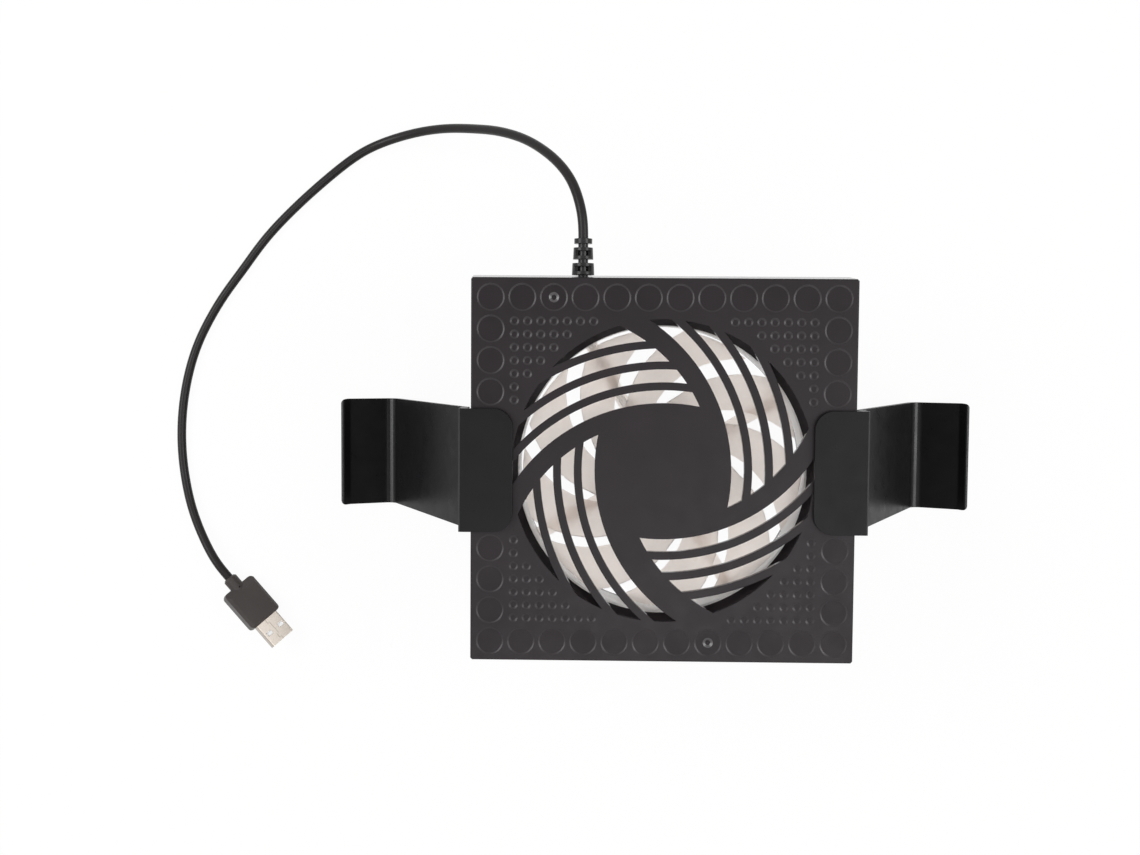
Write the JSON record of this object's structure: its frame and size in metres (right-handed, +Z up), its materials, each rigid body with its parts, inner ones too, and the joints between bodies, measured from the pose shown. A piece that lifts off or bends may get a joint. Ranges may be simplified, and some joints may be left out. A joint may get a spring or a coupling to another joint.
{
  "type": "console cooling fan",
  "caption": "Square clip-on cooling fan for a game console, with a swirl grille, swept blades, two side hooks and a short lead with a flat plug.",
  "frame": {"origin": "on the fan's axis, at the level of the surface that the bends of the two hooks stand on", "axes": "+X to the right hook, +Y to the side where the lead leaves, +Z up along the fan's axis out of the grille"},
  "size_m": [0.3637, 0.2391, 0.0985],
  "materials": {
    "charcoal_plastic": "fine moulded texture",
    "black_hook_plastic": "satin",
    "white_plastic": "smooth",
    "frosted_plastic": "frosted",
    "black_rubber": "matte",
    "cable_jacket": "satin",
    "wire_jacket": "smooth",
    "grip_plastic": "matte",
    "plated_shell": "bright plated",
    "contact_metal": "polished",
    "steel": "plain",
    "ferrite": "matte",
    "bronze": "sintered",
    "copper": "enamelled wire",
    "board": "solder mask"
  },
  "bodies": {
    "housing": {"top_cover": "charcoal_plastic", "base_plate": "charcoal_plastic", "case_screws": "steel", "rubber_feet": "black_rubber", "fan_frame": "white_plastic", "fan_screws": "steel", "motor_mount": "white_plastic", "bearing_sleeve": "bronze", "bearing_cap": "white_plastic", "stator_core": "steel", "stator_coils": "copper", "motor_board": "board", "lead_wires": "wire_jacket", "strain_relief": "black_rubber", "usb_cable": "cable_jacket", "plug_body": "grip_plastic", "plug_shell": "plated_shell", "plug_insert": "white_plastic", "plug_contacts": "contact_metal"},
    "rotor": {"impeller": "frosted_plastic", "rotor_yoke": "steel", "magnet_ring": "ferrite", "rotor_shaft": "steel", "shaft_clip": "steel", "thrust_washer": "white_plastic"},
    "left_hook": {"left_hook": "black_hook_plastic"},
    "right_hook": {"right_hook": "black_hook_plastic"}
  },
  "joints": [
    {"name": "fan_spin", "type": "hinge", "parent": "housing", "child": "rotor", "pos_m": [0, 0, 0.08], "axis": [0, 0, 1], "continuous": true},
    {"name": "left_hook_slide", "type": "slide", "parent": "housing", "child": "left_hook", "axis": [-1, 0, 0], "range_m": [0, 0.02]},
    {"name": "right_hook_slide", "type": "slide", "parent": "housing", "child": "right_hook", "axis": [1, 0, 0], "range_m": [0, 0.02]}
  ]
}
